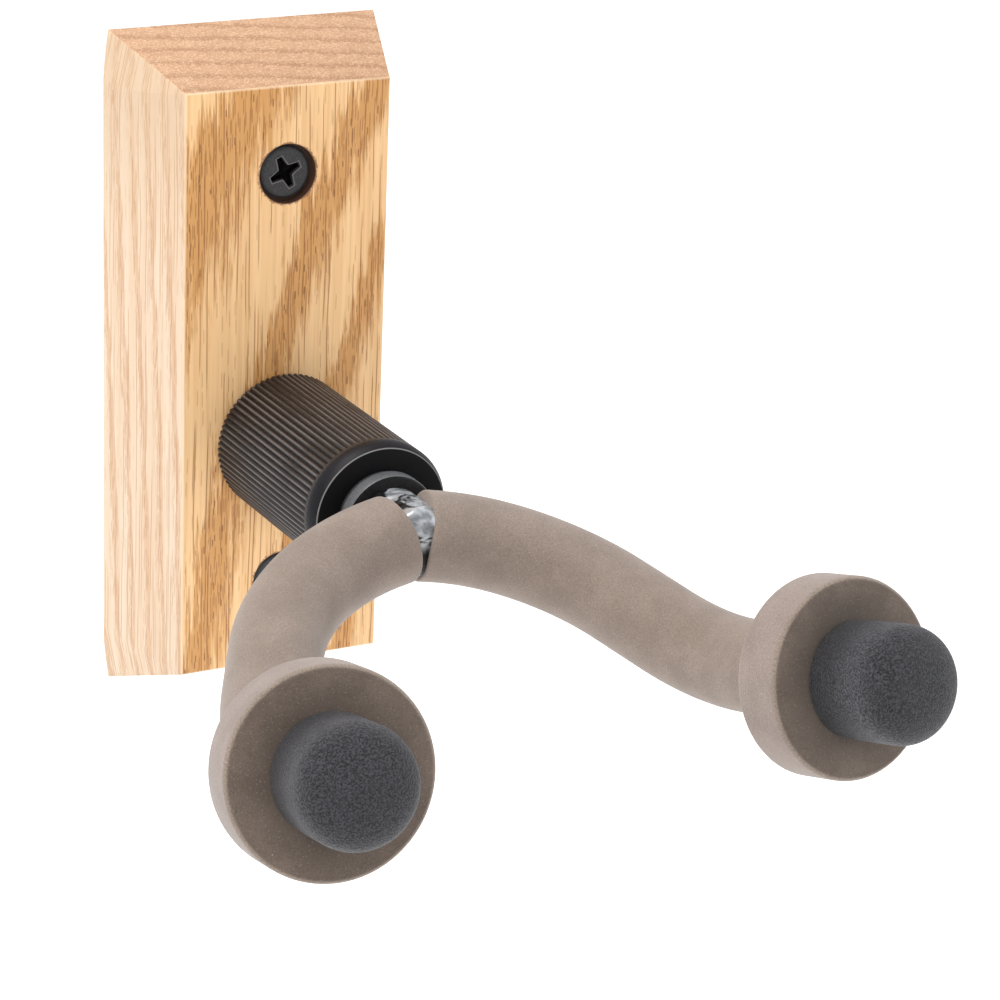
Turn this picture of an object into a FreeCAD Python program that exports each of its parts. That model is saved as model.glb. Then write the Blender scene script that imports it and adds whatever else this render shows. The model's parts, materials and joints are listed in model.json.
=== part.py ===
import FreeCAD, Part
import math
import os

import Sketcher

# Wall guitar hanger: a bevelled oak block screwed to the wall, a knurled housing standing out of it,
# and a two-armed padded yoke that swivels in the housing about the wall's normal.
#
# World frame, in mm: +Z up, +X to the right seen from the front, the front faces -Y.
# The wall plane is y = 0 and the origin is the centre of the block's back face.
# Parts on the wall's normal are drawn in a local frame whose +Z runs out of the wall, so a
# local height is a distance in front of the wall.

doc = FreeCAD.newDocument("wall_guitar_hanger")

# ---------------------------------------------------------------- driving dimensions

DIMENSIONS = {
    # oak block: a board bevelled on all four sides
    "block_thick": 19.05,
    "block_back_width": 50.8,
    "block_back_height": 116.0,
    "block_front_width": 36.4,
    "block_corner_round": 1.2,
    "block_side_round": 0.5,
    "block_front_ease": 0.35,
    # wall screws and their holes
    "screw_spacing": 72.0,
    "screw_hole_rad": 5.03,
    "screw_shank_hole_rad": 3.4,
    "screw_head_rad": 4.45,
    "screw_head_sink": 1.0,
    "screw_head_rim": 0.6,
    "screw_shank_rad": 2.1,
    "screw_core_rad": 1.55,
    "screw_crest_rad": 2.4,
    "screw_pitch": 1.8,
    "screw_ridges": 12,
    "screw_length": 50.0,
    "screw_shank_behind": 6.0,
    "screw_point": 5.0,
    "cross_half_span": 2.6,
    "cross_half_width": 0.55,
    "cross_depth": 2.0,
    # swivel housing
    "pivot_drop": 10.7,
    "housing_rad": 12.05,
    "housing_length": 38.1,
    "housing_nose_rad": 11.3,
    "housing_nose_chamfer": 1.5,
    "housing_bore": 5.5,
    "knurl_ridges": 72,
    "knurl_depth": 0.4,
    # pivot hardware
    "shaft_rad": 4.0,
    "shaft_play": 0.05,
    "bushing_length": 10.0,
    "shaft_hole_rad": 4.6,
    "thrust_rad": 7.6,
    "thrust_bore": 4.4,
    "thrust_thick": 0.8,
    "face_gap": 0.1,
    "collar_rad": 7.95,
    "collar_proud": 3.5,
    "stud_thread_rad": 3.0,
    "stud_end": 0.8,
    "pocket_rad": 13.2,
    "pocket_depth": 9.0,
    "washer_rad": 6.0,
    "washer_bore": 3.4,
    "washer_thick": 1.0,
    "spring_washer_rad": 5.6,
    "nut_flats": 10.0,
    "nut_hex_thick": 5.0,
    "nut_collar_rad": 4.4,
    "nut_collar_thick": 1.0,
    "insert_rad": 3.9,
    "insert_thick": 1.6,
    "fixing_circle_rad": 9.2,
    "fixing_rad": 1.5,
    "fixing_play": 0.05,
    "fixing_head_rad": 2.8,
    "fixing_head_thick": 1.9,
    "fixing_length": 20.0,
    # yoke arms: centreline of the right arm, heights measured from the swivel axis
    "arm_start_y": -66.48,
    "arm_start_z": 0.12,
    "arm_bend_x": 21.44,
    "arm_bend_y": -67.63,
    "arm_bend_z": -3.92,
    "arm_bend_rad": 32.6,
    "arm_rise_rad": 27.3,
    "arm_end_run": 33.4,
    "disc_x": 43.0,
    "disc_y": -130.4,
    "disc_z": -6.1,
    "end_splay_deg": 7.6,
    "end_tilt_deg": 16.0,
    "rod_rad": 3.175,
    "rod_start": 0.9,
    "rod_past_disc": 11.0,
    "sleeve_rad": 7.33,
    "sleeve_bore": 3.2,
    "sleeve_start": 3.1,
    "weld_rad": 6.2,
    "weld_round": 3.0,
    # end discs and caps
    "disc_rad": 15.45,
    "disc_thick": 8.8,
    "disc_edge_round": 1.1,
    "cap_rad": 9.05,
    "cap_straight": 10.6,
    "cap_dome": 5.9,
    "cap_dome_fullness": 2.5,
    "cap_bore_depth": 12.0,
}

sheet = doc.addObject("Spreadsheet::Sheet", "Dimensions")
for row, (alias, value) in enumerate(DIMENSIONS.items(), start=1):
    sheet.set(f"A{row}", alias)
    sheet.set(f"B{row}", str(value))
    sheet.setAlias(f"B{row}", alias)
doc.recompute()


def dim(alias):
    """A driving dimension read back from the sheet."""
    return float(sheet.get(alias))


def cells(expression):
    """Write bare dimension names in an expression as references to the sheet."""
    out = []
    for token in expression.replace("(", " ( ").replace(")", " ) ").split():
        sign = "-" if token.startswith("-") and token[1:] in DIMENSIONS else ""
        name = token[len(sign):]
        out.append(f"{sign}Dimensions.{name}" if name in DIMENSIONS else token)
    return " ".join(out).replace(" (", "(")


def amount(expression):
    """The value of an expression in dimension names."""
    return float(sheet.evalExpression(cells(expression)))


# ---------------------------------------------------------------- modelling helpers

OUT_OF_WALL = FreeCAD.Rotation(FreeCAD.Vector(1, 0, 0), 90)
PIVOT = FreeCAD.Vector(0, 0, -dim("pivot_drop"))


def new_body(label):
    body = doc.addObject("PartDesign::Body", label)
    body.Label = label
    return body


def origin_feature(body, role):
    return next(item for item in body.Origin.OriginFeatures if item.Role == role)


def new_sketch(body, name, plane="XY_Plane", lift=None):
    """A sketch on one of the body's origin planes, lifted along its normal by an expression."""
    sketch = body.newObject("Sketcher::SketchObject", name)
    sketch.AttachmentSupport = [(origin_feature(body, plane), "")]
    sketch.MapMode = "FlatFace"
    if lift:
        sketch.setExpression("AttachmentOffset.Base.z", cells(lift))
    doc.recompute()
    return sketch


def pin_point(sketch, geometry, corner, x, y):
    """Tie a point's coordinates in the sketch to two expressions."""
    for kind, expression in (("DistanceX", x), ("DistanceY", y)):
        value = amount(expression)
        index = sketch.addConstraint(
            Sketcher.Constraint(kind, -1, 1, geometry, corner, value)
        )
        if any(character.isalpha() for character in expression):
            sketch.setExpression(f"Constraints[{index}]", cells(expression))


def draw_outline(sketch, points):
    """A closed polygon through points given as pairs of expressions."""
    places = [FreeCAD.Vector(amount(x), amount(y), 0) for x, y in points]
    lines = []
    for start, end in zip(places, places[1:] + places[:1]):
        lines.append(sketch.addGeometry(Part.LineSegment(start, end)))
    for line, following in zip(lines, lines[1:] + lines[:1]):
        sketch.addConstraint(Sketcher.Constraint("Coincident", line, 2, following, 1))
    for line, (x, y) in zip(lines, points):
        pin_point(sketch, line, 1, x, y)
    doc.recompute()


def draw_circle(sketch, x, y, radius):
    """A circle whose centre and radius are expressions."""
    centre = FreeCAD.Vector(amount(x), amount(y), 0)
    circle = sketch.addGeometry(Part.Circle(centre, FreeCAD.Vector(0, 0, 1), amount(radius)))
    pin_point(sketch, circle, 3, x, y)
    index = sketch.addConstraint(Sketcher.Constraint("Radius", circle, amount(radius)))
    sketch.setExpression(f"Constraints[{index}]", cells(radius))
    doc.recompute()


def revolve(body, name, points, kind="PartDesign::Revolution", lift=None):
    """Turn a closed profile of (radius, height) expressions about the body's local Z."""
    sketch = new_sketch(body, name + "_profile", "XZ_Plane", lift)
    draw_outline(sketch, points)
    turned = body.newObject(kind, name)
    turned.Profile = sketch
    turned.ReferenceAxis = (sketch, ["V_Axis"])
    turned.Angle = 360.0
    doc.recompute()
    body.Tip = turned
    return turned


def pad(body, name, sketch, length):
    feature = body.newObject("PartDesign::Pad", name)
    feature.Profile = sketch
    feature.setExpression("Length", cells(length))
    doc.recompute()
    body.Tip = feature
    return feature


def pocket(body, name, sketch, depth, reversed_cut=False):
    """Cut a sketch into the body and confirm that it removed material."""
    before = body.Shape.Volume
    feature = body.newObject("PartDesign::Pocket", name)
    feature.Profile = sketch
    feature.Reversed = reversed_cut
    feature.setExpression("Length", cells(depth))
    doc.recompute()
    body.Tip = feature
    doc.recompute()
    if body.Shape.Volume > before - 1e-3:
        raise RuntimeError(f"{name} cuts nothing")
    return feature


def round_edges(body, name, chosen, radius):
    """Fillet the edges of the body so far that pass a test."""
    solid = body.Tip
    edges = [
        f"Edge{number}"
        for number, edge in enumerate(solid.Shape.Edges, start=1)
        if chosen(edge)
    ]
    feature = body.newObject("PartDesign::Fillet", name)
    feature.Base = (solid, edges)
    feature.setExpression("Radius", cells(radius))
    doc.recompute()
    body.Tip = feature
    if "Invalid" in feature.State or feature.Shape.isNull() or not feature.Shape.isValid():
        raise RuntimeError(f"{name} failed on {edges}")


def ring(label, inner, outer, low, high):
    """A plain ring about the swivel axis between two heights in front of the wall."""
    body = new_body(label)
    revolve(body, label + "_ring", [(inner, low), (outer, low), (outer, high), (inner, high)])
    body.Placement = FreeCAD.Placement(PIVOT, OUT_OF_WALL)
    return body


# ---------------------------------------------------------------- oak block

def block_outline(width, height):
    """The four corners of a tall rectangle."""
    half_width = f"{width} / 2"
    half_height = f"{height} / 2"
    return [
        (half_width, f"0 - {half_height}"),
        (half_width, half_height),
        (f"0 - {half_width}", half_height),
        (f"0 - {half_width}", f"0 - {half_height}"),
    ]


def ease_block(body):
    """Round the four slanting corners and the long back edges, and break the front edges."""
    thick = dim("block_thick")

    def slanting(box):
        return box.ZMin < 0.01 and box.ZMax > thick - 0.01 and box.XLength > 1

    def long_back(box):
        return box.ZMax < 0.01 and box.YLength > dim("block_back_height") / 2

    def front(box):
        return box.ZMin > thick - 0.01 and box.XLength + box.YLength > 30

    for name, chosen, size in (
        ("corner_round", slanting, "block_corner_round"),
        ("side_round", long_back, "block_side_round"),
        ("front_ease", front, "block_front_ease"),
    ):
        round_edges(body, name, lambda edge: chosen(edge.BoundBox), size)


def oak_backplate():
    body = new_body("oak_backplate")
    back = new_sketch(body, "block_back")
    draw_outline(back, block_outline("block_back_width", "block_back_height"))
    bevelled = pad(body, "block_bevel", back, "block_thick")
    bevelled.setExpression(
        "TaperAngle",
        cells("-1 * atan( ( block_back_width - block_front_width ) / ( 2 * block_thick ) )"),
    )
    doc.recompute()
    ease_block(body)

    # screw holes: a wide mouth, a 90 degree seat for the head, a clearance hole behind it
    seat = "block_thick - screw_head_sink - screw_head_rim"
    foot = f"{seat} - screw_head_rad + screw_shank_hole_rad"
    hole = [
        ("0", "-1"),
        ("screw_shank_hole_rad", "-1"),
        ("screw_shank_hole_rad", foot),
        ("screw_head_rad", seat),
        ("screw_hole_rad", seat),
        ("screw_hole_rad", "block_thick + 1"),
        ("0", "block_thick + 1"),
    ]
    for name, lift in (("upper_hole", "0 - screw_spacing / 2"), ("lower_hole", "screw_spacing / 2")):
        revolve(body, name, hole, "PartDesign::Groove", lift)

    # pivot: a shaft hole with a round pocket in the back for the nut
    pivot = [
        ("0", "-1"),
        ("pocket_rad", "-1"),
        ("pocket_rad", "pocket_depth"),
        ("shaft_hole_rad", "pocket_depth"),
        ("shaft_hole_rad", "block_thick + 1"),
        ("0", "block_thick + 1"),
    ]
    revolve(body, "pivot_hole", pivot, "PartDesign::Groove", "pivot_drop")

    fixings = new_sketch(body, "fixing_holes_sketch")
    for side in ("", "0 - "):
        draw_circle(fixings, f"{side}fixing_circle_rad", "0 - pivot_drop", "fixing_rad + 0.2")
    pocket(body, "fixing_holes", fixings, "block_thick + 1", reversed_cut=True)
    body.Placement = FreeCAD.Placement(FreeCAD.Vector(0, 0, 0), OUT_OF_WALL)
    return body


# ---------------------------------------------------------------- screws

def cross_outline():
    span, half = "cross_half_span", "cross_half_width"
    return [
        (span, f"0 - {half}"), (span, half), (half, half), (half, span),
        (f"0 - {half}", span), (f"0 - {half}", half), (f"0 - {span}", half),
        (f"0 - {span}", f"0 - {half}"), (f"0 - {half}", f"0 - {half}"),
        (f"0 - {half}", f"0 - {span}"), (half, f"0 - {span}"), (half, f"0 - {half}"),
    ]


def wall_screw(label, height_sign, turn):
    """A flat-headed cross-recessed wood screw, its smooth shank standing out behind the wall plane."""
    body = new_body(label)
    top = "block_thick - screw_head_sink"
    rim = f"{top} - screw_head_rim"
    neck = f"{rim} - screw_head_rad + screw_shank_rad"
    tip = f"{top} - screw_length"
    revolve(body, label + "_blank", [
        ("0", tip),
        ("screw_core_rad", f"{tip} + screw_point"),
        ("screw_core_rad", "0 - screw_shank_behind - 0.6"),
        ("screw_shank_rad", "0 - screw_shank_behind"),
        ("screw_shank_rad", neck),
        ("screw_head_rad", rim),
        ("screw_head_rad", top),
        ("0", top),
    ])
    first = "0 - screw_shank_behind - 1.4"
    ridge = revolve(body, label + "_ridge", [
        ("screw_core_rad - 0.2", f"{first} - 0.8"),
        ("screw_core_rad", f"{first} - 0.6"),
        ("screw_crest_rad", first),
        ("screw_core_rad", f"{first} + 0.4"),
        ("screw_core_rad - 0.2", f"{first} + 0.4"),
    ])
    threads = body.newObject("PartDesign::LinearPattern", label + "_thread")
    threads.Originals = [ridge]
    threads.Direction = (origin_feature(body, "Z_Axis"), [""])
    threads.Reversed = True
    threads.setExpression("Length", cells("screw_pitch * ( screw_ridges - 1 )"))
    threads.setExpression("Occurrences", cells("screw_ridges"))
    doc.recompute()
    body.Tip = threads
    cross = new_sketch(body, label + "_cross_sketch", lift=top)
    draw_outline(cross, cross_outline())
    pocket(body, label + "_cross", cross, "cross_depth")
    place = FreeCAD.Vector(0, 0, height_sign * dim("screw_spacing") / 2)
    spin = FreeCAD.Rotation(FreeCAD.Vector(0, 0, 1), turn)
    body.Placement = FreeCAD.Placement(place, OUT_OF_WALL.multiply(spin))
    return body


def fixing_screw(label, side):
    """A small pan-headed screw that holds the housing from the pocket behind it."""
    body = new_body(label)
    floor = "pocket_depth"
    revolve(body, label + "_body", [
        ("0", f"{floor} - fixing_head_thick"),
        ("fixing_head_rad - 0.5", f"{floor} - fixing_head_thick"),
        ("fixing_head_rad", f"{floor} - fixing_head_thick + 0.6"),
        ("fixing_head_rad", floor),
        ("fixing_rad", floor),
        ("fixing_rad", f"{floor} + fixing_length - 0.6"),
        ("fixing_rad - 0.5", f"{floor} + fixing_length"),
        ("0", f"{floor} + fixing_length"),
    ])
    place = PIVOT + FreeCAD.Vector(side * dim("fixing_circle_rad"), 0, 0)
    body.Placement = FreeCAD.Placement(place, OUT_OF_WALL)
    return body


# ---------------------------------------------------------------- housing and pivot

def swivel_housing():
    body = new_body("swivel_housing")
    front = "block_thick + housing_length"
    revolve(body, "housing_tube", [
        ("housing_bore", "block_thick"),
        ("housing_rad", "block_thick"),
        ("housing_rad", f"{front} - housing_nose_chamfer"),
        ("housing_nose_rad", front),
        ("housing_bore", front),
    ])
    groove = new_sketch(body, "knurl_groove_sketch", lift="block_thick - 1")
    pitch = "6.2832 * housing_rad / knurl_ridges"
    draw_outline(groove, [
        (f"0 - 0.42 * {pitch}", "housing_rad + 0.02"),
        ("0", "housing_rad - knurl_depth"),
        (f"0.42 * {pitch}", "housing_rad + 0.02"),
    ])
    cut = pocket(
        body, "knurl_groove", groove,
        "1 + housing_length - housing_nose_chamfer - 0.8", reversed_cut=True,
    )
    knurl = body.newObject("PartDesign::PolarPattern", "knurl")
    knurl.Originals = [cut]
    knurl.Axis = (origin_feature(body, "Z_Axis"), [""])
    knurl.Angle = 360.0
    knurl.setExpression("Occurrences", cells("knurl_ridges"))
    doc.recompute()
    body.Tip = knurl
    holes = new_sketch(body, "housing_fixing_sketch", lift="block_thick - 1")
    for side in ("", "0 - "):
        draw_circle(holes, f"{side}fixing_circle_rad", "0", "fixing_rad + fixing_play")
    pocket(body, "housing_fixings", holes, "fixing_length - 8", reversed_cut=True)
    body.Placement = FreeCAD.Placement(PIVOT, OUT_OF_WALL)
    return body


def pivot_stud():
    body = new_body("pivot_stud")
    shoulder = "pocket_depth + 0.2"
    front = "block_thick + housing_length + collar_proud"
    revolve(body, "stud_shaft", [
        ("0", "stud_end"),
        ("stud_thread_rad - 0.5", "stud_end"),
        ("stud_thread_rad", "stud_end + 0.5"),
        ("stud_thread_rad", shoulder),
        ("shaft_rad", shoulder),
        ("shaft_rad", front),
        ("0", front),
    ])
    body.Placement = FreeCAD.Placement(PIVOT, OUT_OF_WALL)
    return body


def lock_nut():
    body = new_body("lock_nut")
    hexagon = new_sketch(body, "nut_hexagon", lift="pocket_depth - 2.1 - nut_hex_thick")
    corner = f"nut_flats / {2 * math.cos(math.pi / 6):.6f}"
    draw_outline(hexagon, [
        (f"{corner} * {math.cos(math.radians(60 * k)):.6f}", f"{corner} * {math.sin(math.radians(60 * k)):.6f}")
        for k in range(6)
    ])
    pad(body, "nut_hex", hexagon, "nut_hex_thick")
    rear = "pocket_depth - 2.1 - nut_hex_thick"
    revolve(body, "nut_collar", [
        ("0", f"{rear} - nut_collar_thick"),
        ("nut_collar_rad", f"{rear} - nut_collar_thick"),
        ("nut_collar_rad + 0.3", rear),
        ("0", rear),
    ])
    revolve(body, "nut_bore", [
        ("0", f"{rear} - nut_collar_thick - 1"),
        ("insert_rad - 0.3", f"{rear} - nut_collar_thick - 1"),
        ("insert_rad - 0.3", f"{rear} - nut_collar_thick + 0.3"),
        ("insert_rad", f"{rear} - nut_collar_thick + 0.3"),
        ("insert_rad", f"{rear} - nut_collar_thick + 0.3 + insert_thick"),
        ("stud_thread_rad", f"{rear} - nut_collar_thick + 0.3 + insert_thick"),
        ("stud_thread_rad", "pocket_depth"),
        ("0", "pocket_depth"),
    ], "PartDesign::Groove")
    body.Placement = FreeCAD.Placement(PIVOT, OUT_OF_WALL)
    return body


# ---------------------------------------------------------------- yoke arms

def end_direction():
    """Unit vector along the right arm's tip."""
    splay = math.radians(dim("end_splay_deg"))
    tilt = math.radians(dim("end_tilt_deg"))
    return FreeCAD.Vector(
        math.sin(splay) * math.cos(tilt),
        -math.cos(splay) * math.cos(tilt),
        math.sin(tilt),
    )


def first_run():
    """Where the right arm's centreline leaves the middle plane, and its direction there."""
    root = FreeCAD.Vector(0, dim("arm_start_y"), dim("arm_start_z"))
    bend = FreeCAD.Vector(dim("arm_bend_x"), dim("arm_bend_y"), dim("arm_bend_z"))
    return root, (bend - root).normalize()


def arm_centreline(start, past_disc):
    """Right arm's centreline from a distance along its first run to a distance past the disc's face.

    Heights are measured from the swivel axis. Runs are straight, joined by tangent arcs.
    """
    root, first = first_run()
    bend = FreeCAD.Vector(dim("arm_bend_x"), dim("arm_bend_y"), dim("arm_bend_z"))
    face = FreeCAD.Vector(dim("disc_x"), dim("disc_y"), dim("disc_z"))
    rise = face - end_direction() * dim("arm_end_run")
    begin = root + first * start
    finish = face + end_direction() * past_disc
    corners = [begin, bend, rise, finish]
    edges = []
    here = begin
    for index, radius in ((1, dim("arm_bend_rad")), (2, dim("arm_rise_rad"))):
        before = (corners[index] - corners[index - 1]).normalize()
        after = (corners[index + 1] - corners[index]).normalize()
        half = before.getAngle(after) / 2
        reach = radius * math.tan(half)
        enter = corners[index] - before * reach
        leave = corners[index] + after * reach
        inward = (after - before).normalize()
        middle = corners[index] + inward * (radius / math.cos(half) - radius)
        edges.append(Part.makeLine(here, enter))
        edges.append(Part.Arc(enter, middle, leave).toShape())
        here = leave
    edges.append(Part.makeLine(here, finish))
    return Part.Wire(edges)


def tube_along(wire, radius):
    """A round bar along a wire."""
    start = wire.Vertexes[0].Point
    first = wire.Edges[0]
    along = first.tangentAt(first.FirstParameter)
    section = Part.Wire([Part.makeCircle(radius, start, along)])
    return wire.makePipeShell([section], True, True)


def mirrored(shape):
    return shape.mirror(FreeCAD.Vector(0, 0, 0), FreeCAD.Vector(1, 0, 0))


def yoke_feature(label, shape):
    """A yoke part whose shape is drawn with heights measured from the swivel axis."""
    feature = doc.addObject("Part::Feature", label)
    feature.Label = label
    feature.Shape = shape
    feature.Placement = FreeCAD.Placement(PIVOT, FreeCAD.Rotation())
    return feature


def arm_shapes():
    """The right arm's rod and its sleeve."""
    rod = tube_along(arm_centreline(dim("rod_start"), dim("rod_past_disc")), dim("rod_rad"))
    line = arm_centreline(dim("sleeve_start"), -dim("disc_thick"))
    return rod, tube_along(line, dim("sleeve_rad")).cut(tube_along(line, dim("sleeve_bore")))


def straight_bars(radius, start):
    """Straight bars on both arms' first runs, used to trim what lies against them."""
    root, along = first_run()
    bar = Part.makeCylinder(radius, 12, root + along * start, along)
    return [bar, mirrored(bar)]


def trimmed(shape, tools):
    for tool in tools:
        shape = shape.cut(tool)
    return max(shape.Solids, key=lambda solid: solid.Volume)


def hub_collar_shape():
    """The disc the arms are welded to, hollowed where the two sleeves lie against it."""
    housing_face = dim("block_thick") + dim("housing_length")
    rear = housing_face + dim("thrust_thick") + dim("face_gap")
    front = housing_face + dim("collar_proud")
    outward = FreeCAD.Vector(0, -1, 0)
    collar = Part.makeCylinder(dim("collar_rad"), front - rear, outward * rear, outward)
    shaft = Part.makeCylinder(dim("shaft_rad"), front, FreeCAD.Vector(0, 0, 0), outward)
    return trimmed(collar, [shaft] + straight_bars(dim("sleeve_rad"), dim("sleeve_start")))


def weld_shape():
    """The round-nosed weld that joins both rods to the collar, trimmed to the rods and sleeves."""
    root = first_run()[0]
    outward = FreeCAD.Vector(0, -1, 0)
    front = dim("block_thick") + dim("housing_length") + dim("collar_proud")
    reach = dim("weld_rad") - root.y - front
    post = Part.makeCylinder(dim("weld_rad"), reach, outward * front, outward)
    nose = [edge for edge in post.Edges if edge.BoundBox.YMax < root.y]
    tools = straight_bars(dim("sleeve_rad"), dim("sleeve_start"))
    tools += straight_bars(dim("rod_rad"), dim("rod_start"))
    return trimmed(post.makeFillet(dim("weld_round"), nose), tools)


def end_placement(side):
    """Frame at the centre of a disc's front face, with local Z along the arm's tip."""
    tip = end_direction()
    tip.x *= side
    face = FreeCAD.Vector(side * dim("disc_x"), dim("disc_y"), dim("disc_z"))
    return FreeCAD.Placement(PIVOT + face, FreeCAD.Rotation(FreeCAD.Vector(0, 0, 1), tip))


def end_disc(label, side):
    body = new_body(label)
    revolve(body, label + "_blank", [
        ("sleeve_bore", "0 - disc_thick"),
        ("disc_rad", "0 - disc_thick"),
        ("disc_rad", "0"),
        ("sleeve_bore", "0"),
    ])

    def outer(edge):
        return hasattr(edge.Curve, "Radius") and edge.Curve.Radius > dim("disc_rad") - 0.01

    round_edges(body, label + "_rim", outer, "disc_edge_round")
    body.Placement = end_placement(side)
    return body


def end_cap(label, side):
    """A blind rubber cap with a full-shouldered dome, pushed over the rod's end."""
    body = new_body(label)
    steps = 12
    power = 2 / dim("cap_dome_fullness")
    dome = []
    for k in range(1, steps):
        angle = math.pi / 2 * k / steps
        dome.append((
            f"cap_rad * {math.cos(angle) ** power:.6f}",
            f"cap_straight + cap_dome * {math.sin(angle) ** power:.6f}",
        ))
    revolve(body, label + "_blank", [
        ("sleeve_bore", "0"),
        ("cap_rad - 0.4", "0"),
        ("cap_rad", "0.5"),
        ("cap_rad", "cap_straight"),
        *dome,
        ("0", "cap_straight + cap_dome"),
        ("0", "cap_bore_depth"),
        ("sleeve_bore", "cap_bore_depth"),
    ])
    body.Placement = end_placement(side)
    return body


# ---------------------------------------------------------------- assembly

nodes = [
    oak_backplate(),
    wall_screw("wall_screw_upper", 1, 25),
    wall_screw("wall_screw_lower", -1, 40),
    swivel_housing(),
    fixing_screw("housing_screw_left", -1),
    fixing_screw("housing_screw_right", 1),
]

housing_front = "block_thick + housing_length"
bushing_bore = "shaft_rad + shaft_play"
nodes += [
    ring("front_bushing", bushing_bore, "housing_bore",
         f"{housing_front} - bushing_length", housing_front),
    ring("rear_bushing", bushing_bore, "housing_bore",
         "block_thick", "block_thick + bushing_length"),
    ring("thrust_washer", "thrust_bore", "thrust_rad",
         housing_front, f"{housing_front} + thrust_thick"),
    ring("rear_washer", "washer_bore", "washer_rad",
         "pocket_depth - washer_thick", "pocket_depth"),
    ring("spring_washer", "stud_thread_rad + 0.05", "spring_washer_rad",
         "pocket_depth - 2.1", "pocket_depth - washer_thick - face_gap"),
    ring("lock_nut_insert", "stud_thread_rad", "insert_rad",
         "pocket_depth - 1.8 - nut_hex_thick - nut_collar_thick",
         "pocket_depth - 1.8 - nut_hex_thick - nut_collar_thick + insert_thick"),
    pivot_stud(),
    lock_nut(),
]

rod, sleeve = arm_shapes()
nodes += [
    yoke_feature("arm_rod_right", rod),
    yoke_feature("arm_rod_left", mirrored(rod)),
    yoke_feature("arm_sleeve_right", sleeve),
    yoke_feature("arm_sleeve_left", mirrored(sleeve)),
    yoke_feature("hub_collar", hub_collar_shape()),
    yoke_feature("yoke_weld", weld_shape()),
]
for name, side in (("left", -1), ("right", 1)):
    nodes.append(end_disc(f"end_disc_{name}", side))
    nodes.append(end_cap(f"end_cap_{name}", side))

# ---------------------------------------------------------------- checks and export

doc.recompute()
for item in doc.Objects:
    if "Invalid" in item.State or "Error" in item.State:
        raise RuntimeError(f"{item.Label} did not compute: {item.State}")
os.makedirs("parts", exist_ok=True)
for node in nodes:
    shape = node.Shape
    if shape.isNull() or not shape.isValid() or len(shape.Solids) != 1:
        raise RuntimeError(f"{node.Label} is not one valid solid")
    shape.exportStep(f"parts/{node.Label}.step")
    print(f"{node.Label}: {shape.Volume:.1f} mm3, box {shape.BoundBox}")
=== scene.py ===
import json
import math

import bmesh
import bpy
from mathutils import Matrix, Vector


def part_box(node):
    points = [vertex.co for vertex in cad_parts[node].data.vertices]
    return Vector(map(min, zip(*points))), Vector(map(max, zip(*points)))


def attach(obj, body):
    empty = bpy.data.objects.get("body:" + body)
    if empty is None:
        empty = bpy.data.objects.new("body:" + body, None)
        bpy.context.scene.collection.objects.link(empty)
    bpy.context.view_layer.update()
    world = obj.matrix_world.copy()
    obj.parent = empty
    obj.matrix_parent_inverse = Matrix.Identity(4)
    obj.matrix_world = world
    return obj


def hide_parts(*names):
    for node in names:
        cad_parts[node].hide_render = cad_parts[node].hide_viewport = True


# Wall guitar hanger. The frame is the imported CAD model: +Z up, the front faces -Y, and the wall is
# y = 0. Sizes here are in millimetres and are turned into metres as meshes are made.

MM = 0.001
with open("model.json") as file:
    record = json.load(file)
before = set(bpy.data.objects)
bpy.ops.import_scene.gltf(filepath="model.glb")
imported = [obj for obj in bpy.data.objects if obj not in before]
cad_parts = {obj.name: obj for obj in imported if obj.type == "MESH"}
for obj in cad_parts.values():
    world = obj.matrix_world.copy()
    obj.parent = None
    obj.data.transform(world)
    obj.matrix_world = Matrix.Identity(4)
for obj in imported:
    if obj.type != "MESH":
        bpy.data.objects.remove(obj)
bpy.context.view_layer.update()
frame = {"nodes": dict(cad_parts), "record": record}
nodes = frame["nodes"]
PIVOT_Z = frame["record"]["behaviour"]["joints"][0]["pos_m"][2] / MM

# ---------------------------------------------------------------- sizes

BLOCK_THICK = 19.05
BLOCK_BACK_WIDTH = 50.8
BLOCK_FRONT = (36.4, 101.6)
BLOCK_END_EASE = (10.0, 1.3)
SCREW_HEIGHTS = (36.0, -36.0)
SCREW_HOLE_RAD = 5.03
SCREW_CLEAR_RAD = 3.4
SCREW_SEAT = BLOCK_THICK - 1.6
SCREW_HEAD_RAD = 4.45
SCREW_SHANK_RAD = 2.1
POCKET_RAD, POCKET_DEPTH = 13.2, 9.0
STUD_HOLE_RAD = 4.6

HOUSING_RAD = 12.05
HOUSING_FRONT = BLOCK_THICK + 38.1
HOUSING_NOSE_RAD = 11.3
HOUSING_BORE_RAD = 4.3
KNURL_RIDGES = 72
KNURL_DEPTH = 0.42

ARM_ROOT = (0.0, -66.48, 0.12)
ARM_BEND = (21.44, -67.63, -3.92)
ARM_BEND_RAD = 32.6
ARM_RISE_RAD = 27.3
ARM_END_RUN = 33.4
DISC_CENTRE = (43.0, -130.4, -6.1)
END_SPLAY = math.radians(7.6)
END_TILT = math.radians(16.0)
SLEEVE_RAD = 7.33
SLEEVE_BORE = 3.2
SLEEVE_START = 3.1
SLEEVE_END_SLANT = 0.13
DISC_RAD = 15.42
DISC_THICK = 8.8
CAP_RAD = 9.05
CAP_STRAIGHT = 10.6
CAP_DOME = 5.8
CAP_FULLNESS = 2.5
COLLAR_RAD = 7.94
COLLAR_BORE = 4.0
COLLAR_FRONT = HOUSING_FRONT + 3.5
WELD_RAD = 6.1
WELD_NOSE = 3.0

SIDES = {-1: "left", 1: "right"}

# ---------------------------------------------------------------- mesh helpers


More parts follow.
